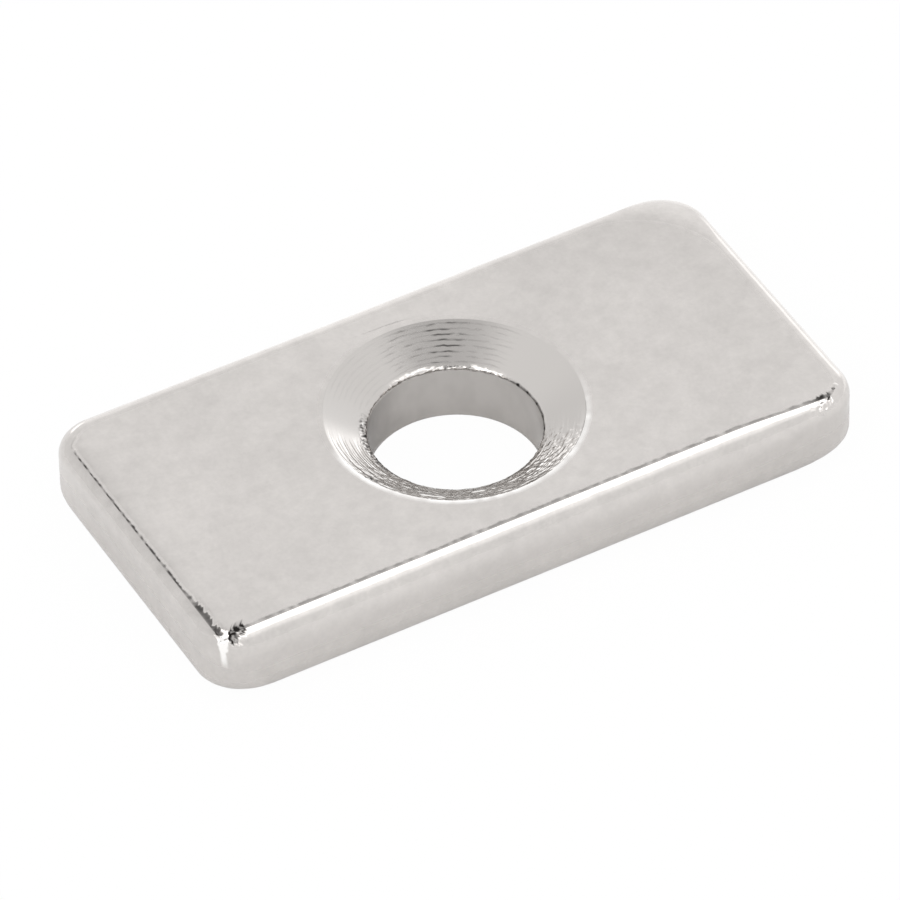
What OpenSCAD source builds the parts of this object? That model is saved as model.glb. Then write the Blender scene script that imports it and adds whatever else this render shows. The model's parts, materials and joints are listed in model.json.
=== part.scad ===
// Flat block magnet with one countersunk screw hole through its middle.
// One sintered piece, ground flat, tumbled until its edges are round, then plated.
// Millimetres. The origin is on the hole's axis, in the middle of the bottom face:
// X runs along the length, Y across the width, and Z points out of the countersunk face.

/* [Block] */
// Length of the block
block_length = 20; // [12:0.5:60]
// Width of the block
block_width = 10; // [9:0.5:40]
// Thickness of the block
block_thickness = 2.5; // [2:0.1:12]

/* [Tumbled edges] */
// Radius of the four upright corners, seen from above
corner_radius = 1.2; // [1.1:0.05:3]
// Radius of the rounding along the edges of the countersunk top face
top_edge_radius = 0.5; // [0.1:0.05:0.8]
// Radius of the rounding along the edges of the bottom face
foot_edge_radius = 0.9; // [0.1:0.05:0.95]

/* [Countersunk hole] */
// Diameter of the bore that the screw passes through
bore_diameter = 4.8; // [3:0.1:5.4]
// Diameter of the countersink's mouth in the top face
sink_diameter = 7.2; // [6.2:0.1:8]
// Full angle of the countersink's cone, in degrees
sink_angle = 118; // [90:1:140]

/* [Hidden] */
$fn = 96;
// How far a cutting tool runs out past the face that it opens
tool_overrun = 1;
sink_slope = tan(sink_angle / 2);
sink_depth = (sink_diameter - bore_diameter) / 2 / sink_slope;

// Upright half section of the block's rim, from a middle line out to the side wall.
// Its outer corners carry the tumbled radii: a small one at the top, a large one at the foot.
module rim_profile(reach) {
    intersection() {
        square([reach, block_thickness]);
        union() {
            rim_half(reach, foot_edge_radius);
            translate([0, block_thickness])
                mirror([0, 1])
                    rim_half(reach, top_edge_radius);
        }
    }
}

// Lower half of that section, up to the middle of the thickness, with the given edge radius
module rim_half(reach, edge_radius) {
    half = block_thickness / 2;
    square([reach - edge_radius, half]);
    translate([0, edge_radius])
        square([reach, half - edge_radius]);
    translate([reach - edge_radius, edge_radius])
        circle(r = edge_radius);
}

// Bar along X whose long edges are rounded, across the whole given width
module rounded_bar(length, width) {
    rotate([90, 0, 90])
        linear_extrude(height = length, center = true)
            for (side = [0, 1])
                mirror([side, 0])
                    rim_profile(width / 2);
}

// One quarter of a round puck: the same rim, turned about the corner's own upright axis
module corner_quarter(turn) {
    rotate([0, 0, turn])
        rotate_extrude(angle = 90)
            rim_profile(corner_radius);
}

// The tumbled block: two crossed bars, and a quarter puck in each of the four corners
module tumbled_block() {
    straight_length = block_length - 2 * corner_radius;
    straight_width = block_width - 2 * corner_radius;
    rounded_bar(straight_length, block_width);
    rotate([0, 0, 90])
        rounded_bar(straight_width, block_length);
    for (quarter = [0 : 3]) {
        turn = 90 * quarter;
        side_x = quarter == 0 || quarter == 3 ? 1 : -1;
        side_y = quarter < 2 ? 1 : -1;
        translate([side_x * straight_length / 2, side_y * straight_width / 2, 0])
            corner_quarter(turn);
    }
}

// The screw's way through: a straight bore, opened by a wide cone at the top face
module countersunk_hole() {
    translate([0, 0, -tool_overrun])
        cylinder(h = block_thickness + 2 * tool_overrun, d = bore_diameter);
    translate([0, 0, block_thickness - sink_depth])
        cylinder(
            h = sink_depth + tool_overrun,
            d1 = bore_diameter,
            d2 = sink_diameter + 2 * tool_overrun * sink_slope
        );
}

module block_magnet() {
    color([0.81, 0.79, 0.78])
        difference() {
            tumbled_block();
            countersunk_hole();
        }
}

block_magnet();
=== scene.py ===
import json
import math

import bpy
import numpy as np
from mathutils import Matrix, Vector, noise


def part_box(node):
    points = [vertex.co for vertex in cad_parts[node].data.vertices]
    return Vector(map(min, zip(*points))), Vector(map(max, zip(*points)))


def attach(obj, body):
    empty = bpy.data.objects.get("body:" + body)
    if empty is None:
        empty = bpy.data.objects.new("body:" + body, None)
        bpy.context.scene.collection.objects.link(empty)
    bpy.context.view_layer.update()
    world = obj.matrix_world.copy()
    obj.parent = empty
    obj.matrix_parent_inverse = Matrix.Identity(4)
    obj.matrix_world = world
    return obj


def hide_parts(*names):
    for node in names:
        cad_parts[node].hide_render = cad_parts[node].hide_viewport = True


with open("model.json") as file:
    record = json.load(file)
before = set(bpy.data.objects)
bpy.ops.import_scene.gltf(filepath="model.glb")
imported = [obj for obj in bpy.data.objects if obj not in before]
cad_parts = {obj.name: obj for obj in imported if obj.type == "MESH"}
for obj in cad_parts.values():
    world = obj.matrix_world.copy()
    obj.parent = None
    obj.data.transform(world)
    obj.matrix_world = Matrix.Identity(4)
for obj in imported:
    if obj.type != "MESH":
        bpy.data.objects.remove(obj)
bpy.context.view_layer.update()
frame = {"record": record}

# A nickel-plated block magnet with a countersunk hole, on a white table in a light tent.
# Sizes in the mesh code are millimetres, and make_object turns them into metres. Places are seen from
# above, from the middle of the block: x runs to its right end and y to its back.
MM = 0.001
NODE = "block_magnet"

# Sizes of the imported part. What the frame doesn't hold has the same value as in the part's source.
box_low, box_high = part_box(NODE)
LENGTH = (box_high.x - box_low.x) / MM
WIDTH = (box_high.y - box_low.y) / MM
THICKNESS = (box_high.z - box_low.z) / MM
screw_bore = next(m for m in frame["record"]["mounts"] if m["name"] == "screw_bore")
BORE_R = screw_bore["dims"]["r_mm"]
BORE_TOP = screw_bore["dims"]["length_mm"]
SINK_R = 3.6
SINK_SLOPE = (THICKNESS - BORE_TOP) / (SINK_R - BORE_R)
SINK_LEAN = math.atan(SINK_SLOPE)
CORNER_R = 1.2
FOOT_EDGE_R = 0.9

# Points round the hole, and how many times as many there are round the block
HOLE_COUNT = 480
RIM_TIMES = 3
# Points round the block are closer at the near corners: by how much at the left and right one, and how far
# round them
CLOSER_LEFT, CLOSER_RIGHT, CLOSER_REACH = 2.6, 1.6, 1.1
# Rows of points up the bore, over the lip, up the cone, and down the roundings of the top face and the foot
BORE_ROWS, LIP_ROWS, CONE_ROWS = 9, 9, 62
TOP_ROWS, FOOT_ROWS = 20, 11
# What each point of the mesh carries for the material, from 0 to 1: polished edge, cone of the countersink,
# wall of the bore, painted shade with grime and chips, painted shade with darker tone, and a painted
# highlight
MARKS = ("edge", "cone", "wall", "grime", "smear", "fresh")

# How each side of the top face is rounded off: how far in from the side wall the flat face ends, the slope
# in degrees at which the rounding starts, the slope at its knee, and where along the rounding the knee is
TOP_EDGES = {
    "right": {"inset": 0.50, "start": 3, "knee": 45, "knee_at": 0.50},
    "back": {"inset": 0.52, "start": 3, "knee": 45, "knee_at": 0.50},
    "left": {"inset": 0.275, "start": 14, "knee": 48, "knee_at": 0.45},
    "front": {"inset": 0.445, "start": 36, "knee": 65, "knee_at": 0.46},
}
# Towards the right end the front rounding gets narrower, and towards the back the left one gets wider:
# by how much, and from where to where
FRONT_NARROWS, FRONT_FROM_TO = 0.17, (6.0, 9.3)
LEFT_WIDENS, LEFT_FROM_TO = 0.16, (3.40, 4.60)
# The radius of each corner at the crease and at the edge of the bottom face
TOP_CORNERS = {"back right": 2.8, "back left": 0.75, "near left": 0.36, "near right": 0.85}
FOOT_CORNERS = {"back right": 1.6, "back left": 2.9, "near left": 2.6, "near right": 4.0}
# The least radius of a corner in the rows further in on the top face
LEAST_CORNER = 0.25

# The hairline between the flat top face and the rounding: its width, its depth, and how dark the painted
# shade along it is
CREASES = {
    "right": {"width": 0.02, "depth": 0.000, "grime": 0.0},
    "back": {"width": 0.02, "depth": 0.000, "grime": 0.0},
    "left": {"width": 0.078, "depth": 0.012, "grime": 0.85},
    "front": {"width": 0.105, "depth": 0.005, "grime": 0.47},
}
# Its least and greatest width, and how ragged coarse and fine jags make it
CREASE_WIDTHS = (0.01, 0.20)
CREASE_JAGS = (0.35, 0.3)
# Where it is torn wide at the left, between which y, and in front, between which x, with soft ends
TORN_LEFT_Y = ((-2.1, -3.0), (-4.5, -4.1))
TORN_FRONT_X = ((8.2, 8.8), (9.3, 9.0))
# Where the left hairline turns faint at the back, and the spot at the near left corner where its painted
# shade is left out
LEFT_CREASE_END = (3.62, 3.46)
SHADE_GAP, SHADE_GAP_REACH = (-9.66, -4.62), (0.36, 0.26)
# The raised ridge that runs along the left hairline
RIDGE_HEIGHT = 0.006
# Rows across the hairline: share of its width, share of its depth, and share of its grime
CREASE_ROWS = ((0.75, 0.7, 1.0), (0.40, 1.0, 1.0), (0.12, 0.8, 0.9))
# Chips and beads mark the rows of the flat face that lie within this distance of the rounding
FLAT_MARKED = 0.25
# Darker patches: the band along the left hairline, and painted shade: the front wall's even one and what is
# added from where to where towards the right, and the one on the top face round its far right corner
LEFT_BAND_DARKENING = 0.30
FRONT_SHADE = 0.05
FRONT_SHADE_ADDED = ((0.065, -9, -4), (0.085, 5, 9))
TOP_SHADE, TOP_SHADE_PLACE, TOP_SHADE_REACH = 0.10, (10, 5), 11

# Where the plating is chipped off: place, radius, and how ragged
CHIPS = (
    ((-9.08, -4.49), 0.18, 0.42),
    ((-9.33, -4.59), 0.18, 0.40),
    # Beside the bead at the far right: a painted dark reflection, in a small pit
    ((9.25, -4.49), 0.06, 0.25),
    ((8.50, -4.64), 0.05, 0.60),
    ((8.73, -4.67), 0.06, 0.60),
    ((8.97, -4.71), 0.06, 0.60),
)
FLAT_CHIP_DEPTH = 0.02
EDGE_CHIP_DEPTH = 0.03
# Small raised beads of plating: place, radius, height
BEADS = (
    ((9.38, -4.41), 0.11, 0.035),
    ((-9.66, 3.74), 0.08, 0.030),
    ((-9.66, 0.64), 0.06, 0.015),
)
# The tumbled edge is slightly wavy all round: height of the waves and their spacing
WAVE_HEIGHT, WAVE_SPACING = 0.004, 0.55
# Where it is battered: place, reach, and the bumps there, each with its height, spacing and noise seed
BATTERED = (
    ((-9.35, -4.62), 0.60, ((0.008, 0.15, 22), (0.003, 0.055, 23))),
    ((8.75, -4.75), 0.65, ((0.032, 0.12, 24), (0.014, 0.055, 25))),
)
# The corner that was struck hardest has a flat knocked into it: its normal, its distance from the middle of
# the block, its place, and how far it reaches
KNOCK_NORMAL = (-0.548, -0.430, 0.717)
KNOCK_DISTANCE = 8.82
KNOCK_PLACE = (-9.51, -4.38)
KNOCK_REACH = 0.25
# A painted highlight runs down the wall below the flat, and narrows: its middle and half width at the top and
# at the foot, the heights between which it narrows, the heights between which it fades out, and how far its
# sides are ragged and soft
GLINT_TOP, GLINT_FOOT = (-9.59, -4.54), (-9.65, -4.64)
GLINT_HALF_TOP, GLINT_HALF_FOOT = 0.19, 0.08
GLINT_NARROWS = (1.7, 2.3)
GLINT_FADES = (1.45, 1.75)
GLINT_RAGGED, GLINT_SOFT = 0.05, 0.05

# Sectors of the hole, as angles in degrees, anticlockwise from its right side: from, to, and the softness
# of both ends
SECTORS = {
    "bore shade": (112, 175, 26),
    "back burr": (66, 116, 10),
    "back right burr": (24, 52, 6),
    "right lip": (-40, 24, 8),
    "left lip": (142, 200, 8),
    "dark lip": (47, 66, 4),
    "rings": (57, 73, 6),
    "rings to the left": (74, 96, 8),
    "rings to the right": (34, 57, 8),
    "rings far left": (100, 140, 10),
    "left streaks": (165, 215, 8),
    "near streaks": (215, 328, 12),
    "pits": (192, 322, 12),
    "left sheen": (176, 212, 8),
    "no sheen": (298, 345, 10),
    "torn band": (142, 200, 8),
    "painted light on cone": (135, 172, 15),
    "painted shade on cone": (315, 350, 15),
    "frayed mouth": (180, 212, 8),
    "left scratch": (224, 236, 3),
    "near scratch": (250, 257, 3),
}
# How dark the painted shade in the bore is, and how much painted light brightens the cone at the left and
# painted shade darkens it at the right
BORE_SHADE = 0.68
CONE_PAINTED_LIGHT, CONE_PAINTED_SHADE = 0.13, 0.15
# How strong the rings and streaks are in each of their sectors, and in all the rest of the cone
RING_STRENGTHS = {"rings": 1, "rings to the left": 0.5, "rings to the right": 0.3, "rings far left": 0.05}
NEAR_STREAKS = 0.8
PLAIN_STRENGTH = 0.04
# Distance between the rings, the share of it that is the steep riser, and the heights of all the relief
RING_PITCH = 0.133
RING_RISER = 0.27
RING_DEPTH = 0.004
STREAK_DEPTH = 0.007
PIT_DEPTH = 0.016
TEAR_DEPTH = 0.020
NICK_DEPTH = 0.02
SCRATCH_HEIGHT = 0.018
# The nick in the countersink's mouth, with its radius, and the radius at which each scratch lies
MOUTH_NICK, NICK_R = (-3.27, -1.22), 0.34
SCRATCHES = {"left scratch": 3.24, "near scratch": 2.81}
# Half the width of a scratch, at its foot and at its crest
SCRATCH_HALF = (0.09, 0.03)

# Edge of the bore's lower mouth: how far outside the bore, height, and how much it has the bore's colour
BORE_EDGE = ((0.05, 0.0, 0.0), (0.015, 0.012, 0.5), (0.0, 0.05, 1.0))
# The lip between bore and cone: its plain size, how much is added in its sectors, its least and greatest
# size, the height of its coarse and fine bumps, and how dark it is in its sectors, with grime and painted
# shade
LIP_SIZE = 0.07
LIP_ADDED = {"heavy": 0.10, "right": 0.05, "left": 0.05, "dark": 0.07}
LIP_SIZES = (0.03, 0.19)
LIP_BUMPS = (0.016, 0.010)
LIP_SHADE_AND_GRIME = {"right": 1, "left": 1.5, "dark": 2, "heavy": 0.4}
# Half the width of the rounding at the countersink's mouth: at the back, what is added in front, and what is
# added where it is frayed
MOUTH_BACK, MOUTH_FRONT, MOUTH_FRAYED = 0.012, 0.050, 0.03

# Each noise seed moves the noise by this much more
SEED_STEP = (17.3, -9.1, 4.7)

# Camera, fitted to the photograph: angles in degrees, distance and aim in millimetres
AZIMUTH = -28.619
ELEVATION = 43.432
ROLL = -1.226
FOCAL_PX = 9374.3
PHOTO_PX = 900
SENSOR_MM = 36
CLIP_METRES = (0.01, 10)
CAMERA_DISTANCE = 255.582
AIM = (0.0972, 0.4960, 0.5091)

# Light tent, as what a mirror ball would see: direction, inner and outer angle in degrees, brightness
TENT_LEVEL = 1.0
TENT_SPOTS = (
    ("dim ceiling", (-0.03, -0.25, 0.97), 8, 34, 0.68),
    ("lamp glow, left", (0.08, -0.77, 0.63), 3, 19, 1.35),
    ("lamp glow, middle", (0.35, -0.70, 0.62), 3, 19, 1.35),
    ("lamp glow, right", (0.52, -0.63, 0.58), 3, 16, 1.35),
    ("lamp, far left", (-0.06, -0.69, 0.72), 7, 11, 2.4),
    ("lamp, left", (0.15, -0.67, 0.73), 7, 12, 2.4),
    ("lamp, middle", (0.36, -0.58, 0.73), 8, 13, 2.4),
    ("lamp, right", (0.44, -0.56, 0.70), 6, 9, 2.4),
    ("camera and its stand", (-0.348, -0.638, 0.687), 8, 12, 0.02),
    ("left lamp", (-0.69, -0.19, 0.69), 12, 17, 2.8),
    ("left lamp, near part", (-0.62, -0.38, 0.69), 8, 12, 2.8),
    ("left lamp, low part", (-0.80, -0.36, 0.48), 7, 11, 2.8),
    ("low strip at the left", (-0.87, -0.42, 0.25), 6, 11, 2.8),
    ("low strip in front", (-0.27, -0.90, 0.34), 6, 13, 2.2),
    ("low strip in front, near part", (0.03, -0.98, 0.16), 4, 9, 1.7),
    ("far glow", (0.62, 0.76, 0.20), 12, 30, 1.15),
    ("far strip, right part", (0.80, 0.58, 0.14), 5, 13, 1.6),
    ("far strip, left part", (0.41, 0.89, 0.18), 5, 15, 1.2),
    ("far strip, beyond the corner", (0.15, 0.98, 0.12), 4, 8, 1.9),
)

# The table, in metres: half its size, how far it lies below the magnet, its colour and that of its glow and
# the background, and where its mirror image in the magnet is brighter, at the right, back and left
TABLE_REACH = 1.5
TABLE_GAP = 0.00001
TABLE_COLOUR = (0.9, 0.9, 0.9, 1)
WHITE = (1, 1, 1, 1)
RIGHT_LIT_X, RIGHT_LIT_Y = (0.0102, 0.0112), (-0.0030, 0)
BACK_LIT_X, BACK_LIT_Y = (-0.0080, -0.0050), (0.0054, 0.0064)
LEFT_LIT_X = (-0.0100, -0.0106)
# How much of it is plain white to the camera, and in the mirror image: elsewhere, where it is lit, and at the
# left. Then the strength of that white where it is lit.
TABLE_SEEN = 0.97
TABLE_MIRRORED, LIT_MIRRORED, LEFT_MIRRORED = 0.02, 0.34, 0.08
LIT_STRENGTH = 1.6

# The plating: its colour, and the colour that each mark turns it to, in the order in which they are laid on
PLATING_COLOUR = (0.645, 0.618, 0.597)
MARK_COLOURS = {
    # The cone's and the bore wall's colours are darker copies of the plating: painted shade. The next is
    # painted shade with darker tone, then a painted highlight, and last painted shade with grime and chipped
    # spots.
    "cone": (0.60, 0.575, 0.555, 1),
    "wall": (0.58, 0.557, 0.537, 1),
    "smear": (0.30, 0.285, 0.275, 1),
    "fresh": (0.97, 0.955, 0.94, 1),
    "grime": (0.02, 0.018, 0.017, 1),
}
# Its mottling: how fine each pattern is, its detail, and how much darker and lighter it makes the colour
CLOUDS = (330, 3, 0.965, 1.035)
BLOTCHES = (2200, 3, 0.955, 1.045)
GRAIN = (9000, 2, 0.975, 1.025)
# Its roughness on plain faces, on polished edges, in the cone and where the painted shade and grime lie, and
# its bumps
FACE_ROUGH, EDGE_ROUGH, CONE_ROUGH, SHADE_AND_GRIME_ROUGH = 0.28, 0.13, 0.20, 0.5
BUMP_STRENGTH = 0.25
BUMP_HEIGHT = 0.00004
BLOTCH_BUMPS = 0.15


def smooth(low, high, x):
    """0 at low, 1 at high, with a soft step between. Low may be the larger one."""
    u = np.clip((x - low) / (high - low), 0, 1)
    return u * u * (3 - 2 * u)


def wobble(x, y, z, scale, seed):
    """Smooth noise from -1 to 1 at each point, whose bumps are about scale apart"""
    x, y, z = np.broadcast_arrays(x, y, z)
    shift = Vector([step * seed for step in SEED_STEP])
    return np.array([noise.noise(Vector(p) / scale + shift) for p in zip(x, y, z)])


def distance(x, y, place):
    """Distance from a place, seen from above"""
    return np.hypot(x - place[0], y - place[1])


def spot(x, y, centre, radius):
    """1 at centre, falling to 0 at the given distance from it, seen from above"""
    return smooth(1, 0, distance(x, y, centre) / radius)


def chipped(x, y, z):
    """How dark the spots are where the plating is chipped off, 0 to 1, with ragged borders"""
    total = np.zeros(len(x))
    z = np.broadcast_to(z, len(x))
    for centre, radius, ragged in CHIPS:
        near = 1 - distance(x, y, centre) / radius
        close = near > -1.5
        here = x[close], y[close], z[close]
        grain = np.zeros(len(x))
        grain[close] = wobble(*here, 0.11, 41) + 0.6 * wobble(*here, 0.05, 42)
        mottled = np.clip(0.9 + 0.9 * grain, 0.55, 1)
        total = np.maximum(total, smooth(0.0, 0.25, near + ragged * grain) * mottled)
    return total


def beads(x, y):
    """Height of the beads"""
    return sum(height * spot(x, y, centre, radius) for centre, radius, height in BEADS)


def battering(x, y, z, chip):
    """How far the tumbled edge stands proud of its plain form: waves, bumps and chips"""
    proud = WAVE_HEIGHT * wobble(x, y, z, WAVE_SPACING, 21)
    for place, reach, bumps in BATTERED:
        rough = sum(height * wobble(x, y, z, spacing, seed) for height, spacing, seed in bumps)
        proud = proud + spot(x, y, place, reach) * rough
    return proud - EDGE_CHIP_DEPTH * chip


def knocked_flat(x, y, z):
    """The points after the flat is knocked into the near left corner"""
    across, along, up = KNOCK_NORMAL
    proud = x * across + y * along + z * up - KNOCK_DISTANCE
    reach = smooth(KNOCK_REACH, 0.75 * KNOCK_REACH, distance(x, y, KNOCK_PLACE))
    move = np.clip(proud, 0, None) * reach
    return x - move * across, y - move * along, z - move * up


def wall_glint(x, y, z):
    """1 where a painted highlight runs down the wall below the flat"""
    z = np.broadcast_to(z, len(x))
    up = smooth(*GLINT_NARROWS, z)
    middle = [foot + (top - foot) * up for foot, top in zip(GLINT_FOOT, GLINT_TOP)]
    away = distance(x, y, middle) + GLINT_RAGGED * wobble(x, y, z, 0.13, 43)
    half = GLINT_HALF_FOOT + (GLINT_HALF_TOP - GLINT_HALF_FOOT) * up
    return smooth(half, half - GLINT_SOFT, away) * smooth(*GLINT_FADES, z)


class Skin:
    """Collects closed rows of points, and the faces between neighbouring rows"""

    def __init__(self):
        self.points = []
        self.faces = []
        self.marks = {name: [] for name in MARKS}
        self.rows = []
        self.count = 0

    def row(self, x, y, z, **marks):
        """Adds a row. Marks that aren't given are 0."""
        n = len(x)
        self.points.append(np.stack([x, y, np.broadcast_to(z, n)], -1))
        for name, values in self.marks.items():
            values.append(np.broadcast_to(marks.get(name, 0.0), n))
        self.rows.append((self.count, n))
        self.count += n

    def join(self, lower, upper):
        """Faces between two rows, of which one may have a whole number of times the points of the other"""
        a, n = self.rows[lower]
        b, m = self.rows[upper]
        if n == m:
            for i in range(n):
                j = (i + 1) % n
                self.faces.append((a + i, a + j, b + j, b + i))
            return
        few, many = min(n, m), max(n, m)
        times = many // few
        for i in range(few):
            ring = [(i * times + k - times // 2) % many for k in range(times + 1)]
            j = (i + 1) % few
            for k in range(times):
                if n < m:
                    self.faces.append((a + i, b + ring[k + 1], b + ring[k]))
                else:
                    self.faces.append((b + i, a + ring[k], a + ring[k + 1]))
            if n < m:
                self.faces.append((a + i, a + j, b + ring[times]))
            else:
                self.faces.append((b + j, b + i, a + ring[times]))

    def close(self):
        """Joins each row to the next, and the last to the first"""
        for k in range(len(self.rows)):
            self.join(k, (k + 1) % len(self.rows))


class Hole:
    """Stations round the hole, from its right side and anticlockwise"""

    def __init__(self, skin, count):
        self.skin = skin
        self.angle = np.arange(count) / count * 2 * math.pi
        self.cos, self.sin = np.cos(self.angle), np.sin(self.angle)

    def row(self, radius, z, **marks):
        self.skin.row(radius * self.cos, radius * self.sin, z, **marks)

    def sector(self, name):
        """1 in a sector, with soft ends"""
        low, high, soft = SECTORS[name]
        middle, half = (low + high) / 2, (high - low) / 2
        off = np.abs((np.degrees(self.angle) - middle + 180) % 360 - 180)
        return smooth(half + soft, half - soft, off)

    def grain(self, height, scale, seed, radius=3):
        """Noise at each station, taken on a circle of the given radius and at the given height"""
        return wobble(self.cos * radius, self.sin * radius, height, scale, seed)


def add_bore(hole):
    """The bore, from its bottom edge to just below the lip, with painted shade at the left"""
    for outside, z, wall in BORE_EDGE:
        hole.row(BORE_R + outside, z, wall=wall)
    # Painted shade at the left, and darker and lighter tone all round
    bore_shade = BORE_SHADE * hole.sector("bore shade")
    for z in np.linspace(0.2, BORE_TOP - 0.16, BORE_ROWS):
        clouds = hole.grain(z, 0.7, 13) + 0.5 * hole.grain(z, 0.25, 17)
        hole.row(BORE_R, z, wall=1, smear=np.clip(0.03 + bore_shade + 0.18 * clouds, 0, 1))


def add_lip(hole):
    """The rounded lip between bore and cone, with a ragged burr that is heaviest at the back"""
    sectors = {
        "heavy": np.clip(hole.sector("back burr") + 0.8 * hole.sector("back right burr"), 0, 1),
        "right": hole.sector("right lip"),
        "left": hole.sector("left lip"),
        "dark": hole.sector("dark lip"),
    }
    size = sum((added * sectors[name] for name, added in LIP_ADDED.items()), LIP_SIZE)
    size = size + (0.03 + 0.05 * sectors["heavy"]) * hole.grain(0, 0.28, 1)
    size = np.clip(size + 0.02 * hole.grain(0, 0.10, 11), *LIP_SIZES)
    # The lip is darkened by grime and by painted shade: the dark dashes at the back right are a painted
    # reflection
    caught = sum(grime * sectors[name] for name, grime in LIP_SHADE_AND_GRIME.items())
    torn = np.clip(hole.grain(5, 0.16, 14) - 0.15, 0, 1) * 2.2
    torn = torn * np.clip(caught, 0, 2) + 0.55 * sectors["right"]
    coarse, fine = LIP_BUMPS
    for share in np.linspace(0, 1, LIP_ROWS):
        # The slope turns from upright to the cone's own
        turn = math.pi / 2 - share * (math.pi / 2 - SINK_LEAN)
        bulge = math.sin(math.pi * share)
        rough = coarse * hole.grain(share * 0.25, 0.12, 12) * bulge
        rough = rough + fine * hole.grain(share * 0.25, 0.05, 15) * bulge
        radius = BORE_R + size * (1 - math.sin(turn)) - rough
        z = BORE_TOP - size * 0.6 + size * math.cos(turn)
        flecks = sectors["left"] * np.clip(0.35 + 2.2 * hole.grain(share * 0.2, 0.09, 21), 0, 1)
        lip_dark = np.clip(torn * bulge + flecks, 0, 1)
        hole.row(radius, z, edge=bulge, cone=share, wall=1 - share, grime=lip_dark)


def cone_relief(hole, r):
    """At one radius of the countersink: height of its surface over a plain cone, how much painted shade and
    dark specks it holds, and how bright its painted highlight is. A chattering tool cut rings into it, and
    fine streaks."""
    rings = sum(strength * hole.sector(name) for name, strength in RING_STRENGTHS.items())
    rings = np.clip(rings, 0, 1)
    streaks = np.clip(hole.sector("left streaks") + NEAR_STREAKS * hole.sector("near streaks"), 0, 1)
    pits = hole.sector("pits")

    # Each ring is a short steep riser and a long tread, and waves and breaks off along its way
    phase = 2 * math.pi * (r - BORE_R) / RING_PITCH + 1.6 * hole.grain(2 * r, 0.9, 3, 2)
    phase = phase + 0.8 * hole.grain(0, 0.13, 19, r)
    dash = np.clip(0.6 + 1.6 * hole.grain(r * 7, 0.30, 2, r), 0, 1.4)
    turn = (phase / (2 * math.pi)) % 1
    step = np.where(turn < RING_RISER, turn / RING_RISER, (1 - turn) / (1 - RING_RISER))
    relief = RING_DEPTH * (PLAIN_STRENGTH + rings * dash) * (step - 0.5)
    # Painted shade in the grooves of the rings
    groove_shade_and_specks = np.clip(rings * dash, 0, 1) * smooth(0.24, 0.06, np.abs(turn - 0.2)) * 0.9

    fine = hole.grain(r * 16, 0.8, 4) + 0.6 * hole.grain(r * 30, 0.8, 5, 6)
    relief = relief + STREAK_DEPTH * (PLAIN_STRENGTH + streaks + 0.2 * rings) * fine
    relief = relief + PIT_DEPTH * pits * hole.grain(0, 0.12, 6, r)
    # Painted highlight on the streaks and pits, a painted sheen at the left, and little on the right
    painted_glint = np.clip(0.25 + fine * 1.8, 0, 1) * np.clip(0.8 * pits + 0.8 * streaks, 0, 1)
    painted_glint = np.maximum(painted_glint, 0.3 * hole.sector("left sheen"))
    painted_glint = painted_glint * (1 - 0.85 * hole.sector("no sheen"))
    fade = smooth(BORE_R + 0.06, BORE_R + 0.16, r) * smooth(SINK_R - 0.02, SINK_R - 0.10, r)

    # A torn band beside the bore at the left, and a nick at the mouth, both with dark specks and painted
    # glints
    tear = hole.sector("torn band") * smooth(0.27, 0.13, r - BORE_R) * smooth(0.05, 0.10, r - BORE_R)
    specks = hole.grain(0, 0.075, 16, r)
    nick = spot(hole.cos * r, hole.sin * r, MOUTH_NICK, NICK_R) * smooth(SINK_R, SINK_R - 0.06, r)
    ragged = hole.grain(0, 0.10, 20, r)
    groove_shade_and_specks = np.maximum(groove_shade_and_specks * fade, tear * np.clip(2.2 * specks, 0, 1))
    groove_shade_and_specks = np.maximum(groove_shade_and_specks, np.clip(3 * nick * ragged, 0, 1))
    painted_glint = np.maximum(painted_glint * fade, tear * np.clip(-2.2 * specks, 0, 1))
    painted_glint = np.maximum(painted_glint, np.clip(-3 * nick * ragged, 0, 1))
    relief = relief * fade + TEAR_DEPTH * tear * specks + NICK_DEPTH * nick * ragged

    # Each scratch stands proud, with a painted highlight along it
    for name, middle in SCRATCHES.items():
        scratch = hole.sector(name) * smooth(*SCRATCH_HALF, np.abs(r - middle))
        groove_shade_and_specks = groove_shade_and_specks * (1 - scratch)
        painted_glint = np.maximum(painted_glint, scratch)
        relief = relief + SCRATCH_HEIGHT * scratch
    return relief, groove_shade_and_specks, painted_glint


def add_cone(hole):
    """The countersink, with painted light at the left and painted shade at the right"""
    bright, cone_shade = CONE_PAINTED_LIGHT * hole.sector("painted light on cone"), CONE_PAINTED_SHADE * hole.sector("painted shade on cone")
    for r in np.linspace(BORE_R + 0.11, SINK_R - 0.04, CONE_ROWS):
        relief, groove_shade_and_specks, painted_glint = cone_relief(hole, r)
        z = BORE_TOP + SINK_SLOPE * (r - BORE_R) + math.cos(SINK_LEAN) * relief
        # Its painted highlight, and the painted light at the left
        fresh = np.maximum(painted_glint, bright)
        hole.row(r - math.sin(SINK_LEAN) * relief, z, cone=1, grime=groove_shade_and_specks, smear=cone_shade, fresh=fresh)


def add_mouth(hole):
    """Mouth of the countersink: crisp at the back, rounded over in front, and frayed at the left"""
    frayed = hole.sector("frayed mouth")
    # A painted highlight along the rounded front of the mouth and where it is frayed
    fresh = smooth(0.0, -0.7, hole.sin) * np.clip(0.75 + 0.6 * hole.grain(0, 0.2, 18), 0, 1)
    fresh = np.maximum(fresh, frayed)
    half = MOUTH_BACK + MOUTH_FRONT * smooth(0.2, -0.7, hole.sin)
    half = half + frayed * (MOUTH_FRAYED + 0.05 * np.clip(hole.grain(0, 0.09, 22), -0.3, 1))
    for u in (0.1, 0.35, 0.6, 0.85):
        z = THICKNESS - half * SINK_SLOPE * (1 - u) ** 2
        hole.row(SINK_R - half + 2 * half * u, z, cone=1 - u, edge=0.7, fresh=fresh)
    for outside in (0.16, 0.24):
        hole.row(SINK_R + outside, THICKNESS)


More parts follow.
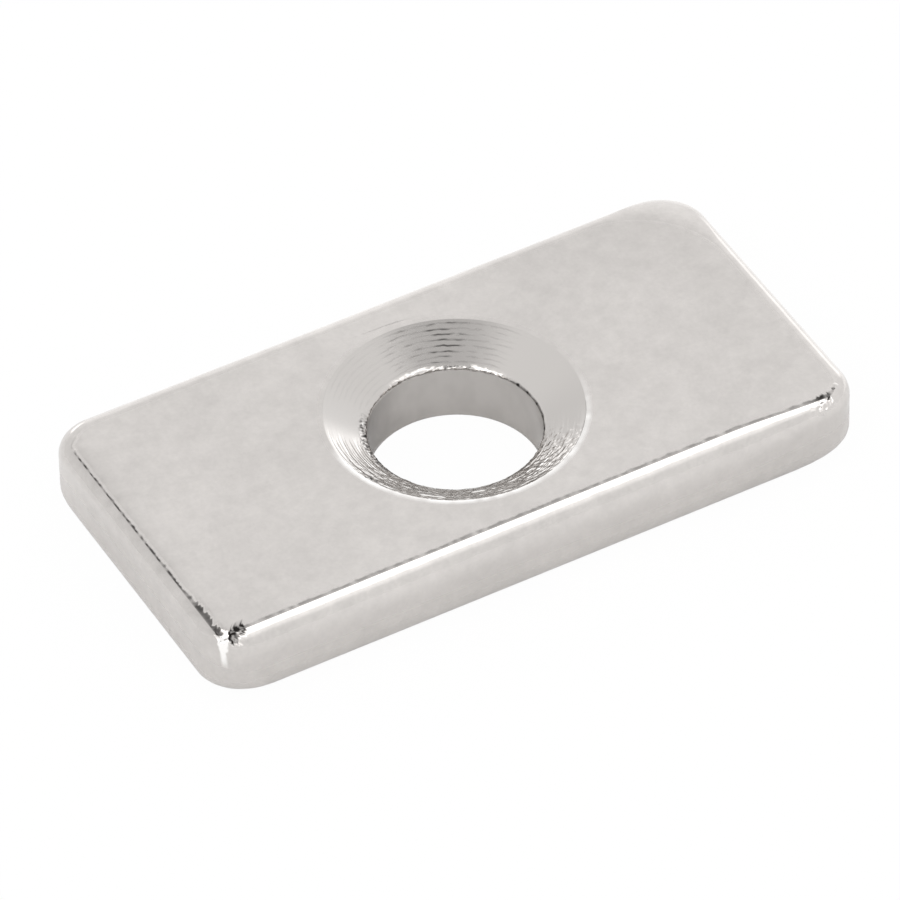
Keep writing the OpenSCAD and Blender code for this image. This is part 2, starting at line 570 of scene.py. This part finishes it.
class Rim:
    """Stations round the block, from the middle of its right end and anticlockwise, closer at the near
    corners"""

    def __init__(self, count):
        end, side = WIDTH / 2 - CORNER_R, LENGTH / 2 - CORNER_R
        arc = CORNER_R * math.pi / 2
        quarter = end + arc + side
        fine = np.linspace(0, 4 * quarter, 20001)
        density = np.ones_like(fine)
        near_left, near_right = 2 * quarter + end + arc / 2, 4 * quarter - end - arc / 2
        for place, extra in ((near_left, CLOSER_LEFT), (near_right, CLOSER_RIGHT)):
            density += extra * np.exp(-((fine - place) / CLOSER_REACH) ** 2)
        reach = np.concatenate([[0], np.cumsum((density[1:] + density[:-1]) / 2)])
        walk = np.interp(np.arange(count) / count * reach[-1], reach, fine)

        quadrant = np.floor(walk / quarter).astype(int) % 4
        t = walk - quadrant * quarter
        # In odd quadrants the long side comes first, so the walk along them is turned round
        t = np.where(quadrant % 2 == 1, quarter - t, t)
        angle = np.clip((t - end) / CORNER_R, 0, math.pi / 2)
        self.count = count
        self.sign_x = np.where((quadrant == 0) | (quadrant == 3), 1, -1)
        self.sign_y = np.where(quadrant < 2, 1, -1)
        self.run_x = np.clip((quarter - t) / side, 0, 1)
        self.run_y = np.clip(t / end, 0, 1)
        self.out_x, self.out_y = np.cos(angle), np.sin(angle)
        self.weights = {
            "right": np.where(self.sign_x > 0, self.out_x ** 2, 0),
            "left": np.where(self.sign_x < 0, self.out_x ** 2, 0),
            "back": np.where(self.sign_y > 0, self.out_y ** 2, 0),
            "front": np.where(self.sign_y < 0, self.out_y ** 2, 0),
        }
        corners = np.array(["back right", "back left", "near left", "near right"])
        self.corner = corners[quadrant]
        self.x, self.y = self.place(0, CORNER_R)

    def by_side(self, table, name):
        """A value that each side has in a table, blended round the corners"""
        return sum(self.weights[side] * values[name] for side, values in table.items())

    def by_corner(self, table):
        """The value that each corner has in a table"""
        return np.array([table[name] for name in self.corner])

    def place(self, inset, radius):
        """The stations of a rounded rectangle inset within the walls, with the given corner radii"""
        x = (LENGTH / 2 - inset - radius) * self.run_x + radius * self.out_x
        y = (WIDTH / 2 - inset - radius) * self.run_y + radius * self.out_y
        return x * self.sign_x, y * self.sign_y

    def grain(self, scale, seed):
        """Noise at each station"""
        return wobble(self.x, self.y, 0, scale, seed)


class Crease:
    """The ragged hairline between the flat top face and the rounding, wider where it is torn"""

    def __init__(self, rim):
        left, front = rim.weights["left"], rim.weights["front"]
        self.torn_left = left * smooth(*TORN_LEFT_Y[0], rim.y) * smooth(*TORN_LEFT_Y[1], rim.y)
        torn_front = front * smooth(*TORN_FRONT_X[0], rim.x) * smooth(*TORN_FRONT_X[1], rim.x)

        self.jag = rim.grain(0.30, 31)
        fine_jag = rim.grain(0.07, 32) * (1 + 0.8 * left)
        coarse, fine = CREASE_JAGS
        width = rim.by_side(CREASES, "width") * (1 + coarse * self.jag + fine * fine_jag)
        width = width * (1 - 0.3 * left * smooth(-2, 2, rim.y))
        width = width + (0.05 + 0.04 * fine_jag) * self.torn_left + (0.03 + 0.09 * fine_jag) * torn_front
        self.width = np.clip(width, *CREASE_WIDTHS)

        # It gets faint at the back end of the left side, and stops at the right end of the front
        at_left = rim.sign_x < 0
        left_run = smooth(*LEFT_CREASE_END, rim.y)
        self.depth = rim.by_side(CREASES, "depth") * np.where(at_left, 0.2 + 0.8 * left_run, 1)
        ends = np.where(at_left, 0.3 + 0.7 * left_run, smooth(0.45, 0.8, front))
        # The dark along the hairline is painted shade
        grime = rim.by_side(CREASES, "grime") * ends
        grime = grime * np.clip(0.85 + 0.9 * rim.grain(0.16, 33), 0.15, 1.05) + 0.5 * torn_front
        grime = np.maximum(grime, 0.8 * self.torn_left)
        self.grime = grime * (1 - smooth(*SHADE_GAP_REACH, distance(rim.x, rim.y, SHADE_GAP)))

        ridge = RIDGE_HEIGHT * left * smooth(3.6, 3.3, rim.y)
        self.ridge = ridge * np.clip(0.4 + 1.2 * rim.grain(0.12, 34), 0, 1)


class Block:
    """The outside of the block, row by row from the flat top face over the rim to the bottom face"""

    def __init__(self, skin, rim, coarse_count):
        self.skin, self.rim = skin, rim
        # Picks as many of the stations as there are round the hole
        self.coarse = slice(None, None, rim.count // coarse_count)
        left, front = rim.weights["left"], rim.weights["front"]
        inset = rim.by_side(TOP_EDGES, "inset")
        inset = inset - FRONT_NARROWS * front * smooth(*FRONT_FROM_TO, rim.x)
        self.inset = inset + LEFT_WIDENS * left * smooth(*LEFT_FROM_TO, rim.y)
        self.top_corner = rim.by_corner(TOP_CORNERS)
        self.foot_corner = rim.by_corner(FOOT_CORNERS)
        self.crease = Crease(rim)
        # A darker band along the left hairline, and painted shade on the front wall and round the top face's
        # far right corner
        self.left_band_darkening = LEFT_BAND_DARKENING * left * (0.8 + 0.5 * self.crease.jag)
        self.front_shade = FRONT_SHADE
        for added, low, high in FRONT_SHADE_ADDED:
            self.front_shade = self.front_shade + added * smooth(low, high, rim.x)
        self.front_shade = self.front_shade * front
        self.top_shade = TOP_SHADE * spot(rim.x, rim.y, TOP_SHADE_PLACE, TOP_SHADE_REACH)

    def row(self, inset, z, radius, pick=slice(None), **marks):
        x, y = self.rim.place(inset, radius)
        x, y, z = knocked_flat(x, y, np.broadcast_to(z, self.rim.count))
        marks = {name: np.broadcast_to(mark, self.rim.count)[pick] for name, mark in marks.items()}
        self.skin.row(x[pick], y[pick], z[pick], **marks)

    def flat_row(self, extra, z=THICKNESS, pick=slice(None), grime=0.0, **marks):
        """A row of the flat top face, extra in from the rounding, with the chips and beads near its rim"""
        radius = np.clip(self.top_corner - extra, LEAST_CORNER, None)
        x, y = self.rim.place(self.inset + extra, radius)
        marked = extra < FLAT_MARKED
        chip = chipped(x, y, 0) * marked
        z = z + (beads(x, y) - FLAT_CHIP_DEPTH * chip) * marked
        self.row(self.inset + extra, z, radius, pick, grime=np.maximum(grime, chip), **marks)

    def add_flat(self):
        """The flat top face outside the countersink, and the crease"""
        crease, band, top_shade = self.crease, self.left_band_darkening, self.top_shade
        # Painted shade round the far right corner, and the darker band along the left hairline
        self.flat_row(0.60, pick=self.coarse, smear=top_shade)
        self.flat_row(0.34, smear=0.3 * band + top_shade)
        self.flat_row(crease.width + 0.100, smear=band + top_shade)
        self.flat_row(crease.width + 0.055, smear=0.3 * band + top_shade)
        self.flat_row(crease.width + 0.025, THICKNESS + crease.ridge, edge=0.5)
        # Painted shade along the hairline
        self.flat_row(crease.width, edge=1, grime=(0.25 + 0.6 * crease.torn_left) * crease.grime)
        for across, down, dark in CREASE_ROWS:
            z = THICKNESS - crease.depth * down
            self.flat_row(crease.width * across, z, edge=1, grime=crease.grime * dark)

    def top_profile(self):
        """Inset, drop and slope of the top rounding at even steps from the crease to the side wall, at each
        station"""
        start, knee, knee_at = (self.rim.by_side(TOP_EDGES, name) for name in ("start", "knee", "knee_at"))
        s = np.linspace(0, 1, 401)[:, None]
        rise = start + (knee - start) * s / knee_at
        fall = knee + (90 - knee) * (s - knee_at) / (1 - knee_at)
        slope = np.radians(np.where(s < knee_at, rise, fall))
        middle = (slope[1:] + slope[:-1]) / 2
        none = np.zeros((1, self.rim.count))
        run = np.concatenate([none, np.cumsum(np.cos(middle), 0)])
        drop = np.concatenate([none, np.cumsum(np.sin(middle), 0)])
        scale = self.inset / run[-1]
        return self.inset - run * scale, drop * scale, slope

    def add_rounding(self):
        """The battered rounding from the crease to the side wall. Returns the height at which it ends."""
        rim, crease = self.rim, self.crease
        insets, drops, slopes = self.top_profile()
        dip = crease.depth * 0.6
        for share in np.concatenate([[0, 0.02], np.linspace(0.05, 0.93, TOP_ROWS), [1]]):
            k = int(round(share * (len(slopes) - 1)))
            inset, drop, slope = insets[k], drops[k], slopes[k]
            radius = CORNER_R + (self.top_corner - CORNER_R) * inset / self.inset
            x, y = rim.place(inset, radius)
            z = THICKNESS - drop - dip * (1 - share) ** 6 + beads(x, y)
            chip = chipped(x, y, z) * smooth(1.0, 0.6, share)
            bulge = math.sin(math.pi * min(1, share + 0.15)) ** 0.5
            proud = battering(x, y, z, chip) * bulge * smooth(0, 0.1, share)
            x, y, z = knocked_flat(
                x + proud * rim.sign_x * rim.out_x * np.sin(slope),
                y + proud * rim.sign_y * rim.out_y * np.sin(slope),
                z + proud * np.cos(slope),
            )
            # Painted shade and the darker band near the top, painted shade along the front, dark chips, and
            # the painted highlight below the knocked flat
            top_smear = (1.1 * self.left_band_darkening + self.top_shade) * (1 - share)
            self.skin.row(
                x, y, z, edge=1, grime=np.maximum(crease.grime * (share == 0) * 0.5, chip),
                smear=top_smear + self.front_shade * smooth(0.5, 1, share), fresh=wall_glint(x, y, z),
            )
        return THICKNESS - drops[-1]

    def add_wall(self, top):
        """The side wall, from the given height down to the rounding of the foot"""
        for share in (0.9, 0.75, 0.5, 0.25, 0):
            z = FOOT_EDGE_R + (top - FOOT_EDGE_R) * share
            # Painted shade along the front wall, and the painted highlight below the knocked flat
            fresh = wall_glint(self.rim.x, self.rim.y, z)
            edge = smooth(0.6, 1, share)
            self.row(0, z, CORNER_R, self.coarse, edge=edge, smear=self.front_shade, fresh=fresh)

    def add_foot(self):
        """The rounding of the foot, and the outermost row of the bottom face"""
        for t in np.linspace(0, math.pi / 2, FOOT_ROWS + 1)[1:]:
            inset = FOOT_EDGE_R * (1 - math.cos(t))
            z = FOOT_EDGE_R * (1 - math.sin(t))
            radius = CORNER_R + (self.foot_corner - CORNER_R) * (1 - math.cos(t))
            # Painted shade along the front
            self.row(inset, z, radius, self.coarse, edge=0.5, smear=self.front_shade)
        self.row(FOOT_EDGE_R + 0.1, 0.0, self.foot_corner - 0.1, self.coarse)


def build_mesh():
    """The whole skin: up the hole, over the block's outside, and back along the bottom face to the hole"""
    skin = Skin()
    hole = Hole(skin, HOLE_COUNT)
    add_bore(hole)
    add_lip(hole)
    add_cone(hole)
    add_mouth(hole)
    block = Block(skin, Rim(RIM_TIMES * HOLE_COUNT), HOLE_COUNT)
    block.add_flat()
    wall_top = block.add_rounding()
    block.add_wall(wall_top)
    block.add_foot()
    for outside in (0.6, 0.12):
        hole.row(BORE_R + outside, 0.0)
    skin.close()
    return skin


def make_object(skin):
    """The Blender object, in metres, with the marks as attributes"""
    points = np.concatenate(skin.points) * MM
    mesh = bpy.data.meshes.new("magnet_skin")
    mesh.from_pydata(points.tolist(), [], skin.faces)
    mesh.validate()
    for name, values in skin.marks.items():
        layer = mesh.attributes.new(name, "FLOAT", "POINT")
        layer.data.foreach_set("value", np.concatenate(values).astype(np.float32))
    mesh.polygons.foreach_set("use_smooth", [True] * len(mesh.polygons))
    mesh.update()
    piece = bpy.data.objects.new("magnet_skin", mesh)
    bpy.context.scene.collection.objects.link(piece)
    return piece


def node(tree, kind, **inputs):
    """Adds a shader node. Names with a leading _ set the node's own properties, the others its sockets, by
    name, or by number after an n."""
    made = tree.nodes.new(kind)
    for name, value in inputs.items():
        if name.startswith("_"):
            setattr(made, name[1:], value)
            continue
        key = int(name[1:]) if name[0] == "n" and name[1:].isdigit() else name.replace("_", " ")
        socket = made.inputs[key]
        if isinstance(value, bpy.types.NodeSocket):
            tree.links.new(value, socket)
        else:
            socket.default_value = value
    return made


def math_node(tree, operation, a, b):
    return node(tree, "ShaderNodeMath", _operation=operation, n0=a, n1=b).outputs[0]


def blend(tree, factor, a, b):
    """The number a where factor is 0, and b where it is 1"""
    return node(tree, "ShaderNodeMix", Factor=factor, n2=a, n3=b).outputs[0]


def ramp(tree, value, low, high, at_low, at_high):
    """A straight ramp of value, clamped at both ends"""
    ends = {"From_Min": low, "From_Max": high, "To_Min": at_low, "To_Max": at_high}
    return node(tree, "ShaderNodeMapRange", Value=value, **ends).outputs[0]


def empty_tree(owner):
    """The node tree of a material or world, cleared"""
    owner.use_nodes = True
    owner.node_tree.nodes.clear()
    return owner.node_tree


def seen_as_background(tree, path):
    """1 for rays from the camera, straight or through something clear"""
    return math_node(tree, "MAXIMUM", path.outputs["Is Camera Ray"], path.outputs["Is Transmission Ray"])


def nickel():
    """Bright mottled plating, tinted by the marks"""
    material = bpy.data.materials.new("nickel_plating")
    tree = empty_tree(material)
    place = node(tree, "ShaderNodeTexCoord").outputs["Object"]
    marks = {name: node(tree, "ShaderNodeAttribute", _attribute_name=name).outputs["Fac"] for name in MARKS}

    def mottle(pattern):
        """A noise pattern, and the tone that it gives the colour"""
        scale, detail, darker, lighter = pattern
        texture = node(tree, "ShaderNodeTexNoise", Vector=place, Scale=scale, Detail=detail, Roughness=0.6)
        return texture.outputs[0], ramp(tree, texture.outputs[0], 0.3, 0.7, darker, lighter)

    clouds, cloud_tone = mottle(CLOUDS)
    blotches, blotch_tone = mottle(BLOTCHES)
    grain, grain_tone = mottle(GRAIN)
    tone = math_node(tree, "MULTIPLY", cloud_tone, grain_tone)
    tone = math_node(tree, "MULTIPLY", tone, blotch_tone)
    toned = node(tree, "ShaderNodeVectorMath", _operation="SCALE", n0=PLATING_COLOUR, Scale=tone)
    colour = toned.outputs[0]
    for name, tint in MARK_COLOURS.items():
        mix = node(tree, "ShaderNodeMix", _data_type="RGBA", Factor=marks[name], n6=colour, n7=tint)
        colour = mix.outputs[2]

    rough = ramp(tree, marks["edge"], 0, 1, FACE_ROUGH, EDGE_ROUGH)
    rough = blend(tree, marks["cone"], rough, CONE_ROUGH)
    rough = blend(tree, marks["grime"], rough, SHADE_AND_GRIME_ROUGH)
    height = math_node(tree, "ADD", clouds, math_node(tree, "MULTIPLY", blotches, BLOTCH_BUMPS))
    bump = node(tree, "ShaderNodeBump", Strength=BUMP_STRENGTH, Distance=BUMP_HEIGHT, Height=height)
    shader = node(
        tree, "ShaderNodeBsdfPrincipled", Base_Color=colour, Metallic=1.0, Roughness=rough,
        Normal=bump.outputs[0],
    )
    node(tree, "ShaderNodeOutputMaterial", Surface=shader.outputs[0])
    return material


def light_tent():
    """The world: an even tent with brighter and darker spots, and plain white as the background"""
    world = bpy.data.worlds.new("light_tent")
    bpy.context.scene.world = world
    tree = empty_tree(world)
    ray = node(tree, "ShaderNodeTexCoord").outputs["Generated"]
    level = TENT_LEVEL
    for _, direction, inner, outer, brightness in TENT_SPOTS:
        aim = Vector(direction).normalized()
        facing = node(tree, "ShaderNodeVectorMath", _operation="DOT_PRODUCT", n0=ray, n1=aim).outputs["Value"]
        inside = node(
            tree, "ShaderNodeMapRange", _interpolation_type="SMOOTHSTEP", Value=facing,
            From_Min=math.cos(math.radians(outer)), From_Max=math.cos(math.radians(inner)),
        )
        level = blend(tree, inside.outputs[0], level, brightness)
    seen = seen_as_background(tree, node(tree, "ShaderNodeLightPath"))
    level = blend(tree, seen, level, 1.0)
    background = node(tree, "ShaderNodeBackground", Color=WHITE, Strength=level)
    node(tree, "ShaderNodeOutputWorld", Surface=background.outputs[0])


def white_table():
    """A matt table that keeps the magnet's shadow, and is nearly plain white to the camera"""
    mesh = bpy.data.meshes.new("table")
    corners = [(-TABLE_REACH, -TABLE_REACH, 0), (TABLE_REACH, -TABLE_REACH, 0),
               (TABLE_REACH, TABLE_REACH, 0), (-TABLE_REACH, TABLE_REACH, 0)]
    mesh.from_pydata(corners, [], [(0, 1, 2, 3)])
    table = bpy.data.objects.new("table", mesh)
    table.location.z = box_low.z - TABLE_GAP
    bpy.context.scene.collection.objects.link(table)
    material = bpy.data.materials.new("white_table")
    tree = empty_tree(material)

    place = node(tree, "ShaderNodeTexCoord").outputs["Object"]
    across = node(tree, "ShaderNodeSeparateXYZ", Vector=place)
    x, y = across.outputs["X"], across.outputs["Y"]
    right = math_node(tree, "MULTIPLY", ramp(tree, x, *RIGHT_LIT_X, 0, 1), ramp(tree, y, *RIGHT_LIT_Y, 0, 1))
    back = math_node(tree, "MULTIPLY", ramp(tree, y, *BACK_LIT_Y, 0, 1), ramp(tree, x, *BACK_LIT_X, 0, 1))
    lit = math_node(tree, "MAXIMUM", right, back)
    left = ramp(tree, x, *LEFT_LIT_X, 0, LEFT_MIRRORED)

    path = node(tree, "ShaderNodeLightPath")
    glossy = path.outputs["Is Glossy Ray"]
    share = math_node(tree, "MULTIPLY", seen_as_background(tree, path), TABLE_SEEN)
    mirrored = math_node(tree, "ADD", ramp(tree, lit, 0, 1, TABLE_MIRRORED, LIT_MIRRORED), left)
    share = math_node(tree, "ADD", share, math_node(tree, "MULTIPLY", glossy, mirrored))
    strength = ramp(tree, math_node(tree, "MULTIPLY", lit, glossy), 0, 1, 1.0, LIT_STRENGTH)
    matt = node(tree, "ShaderNodeBsdfDiffuse", Color=TABLE_COLOUR).outputs[0]
    glow = node(tree, "ShaderNodeEmission", Color=WHITE, Strength=strength).outputs[0]
    surface = node(tree, "ShaderNodeMixShader", n0=share, n1=matt, n2=glow).outputs[0]
    node(tree, "ShaderNodeOutputMaterial", Surface=surface)
    table.data.materials.append(material)


def camera():
    azimuth, elevation = math.radians(AZIMUTH), math.radians(ELEVATION)
    back = Vector((
        math.sin(azimuth) * math.cos(elevation),
        -math.cos(azimuth) * math.cos(elevation),
        math.sin(elevation),
    ))
    data = bpy.data.cameras.new("camera")
    data.sensor_width = SENSOR_MM
    data.lens = FOCAL_PX * SENSOR_MM / PHOTO_PX
    data.clip_start, data.clip_end = CLIP_METRES
    made = bpy.data.objects.new("camera", data)
    made.location = (Vector(AIM) + back * CAMERA_DISTANCE) * MM
    turn = (-back).to_track_quat("-Z", "Y").to_matrix() @ Matrix.Rotation(math.radians(ROLL), 3, "Z")
    made.rotation_euler = turn.to_euler()
    bpy.context.scene.collection.objects.link(made)
    bpy.context.scene.camera = made


camera()
light_tent()
white_table()
magnet = make_object(build_mesh())
magnet.data.materials.append(nickel())
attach(magnet, "root")
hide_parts(NODE)

bpy.context.scene.view_settings.view_transform = "Standard"
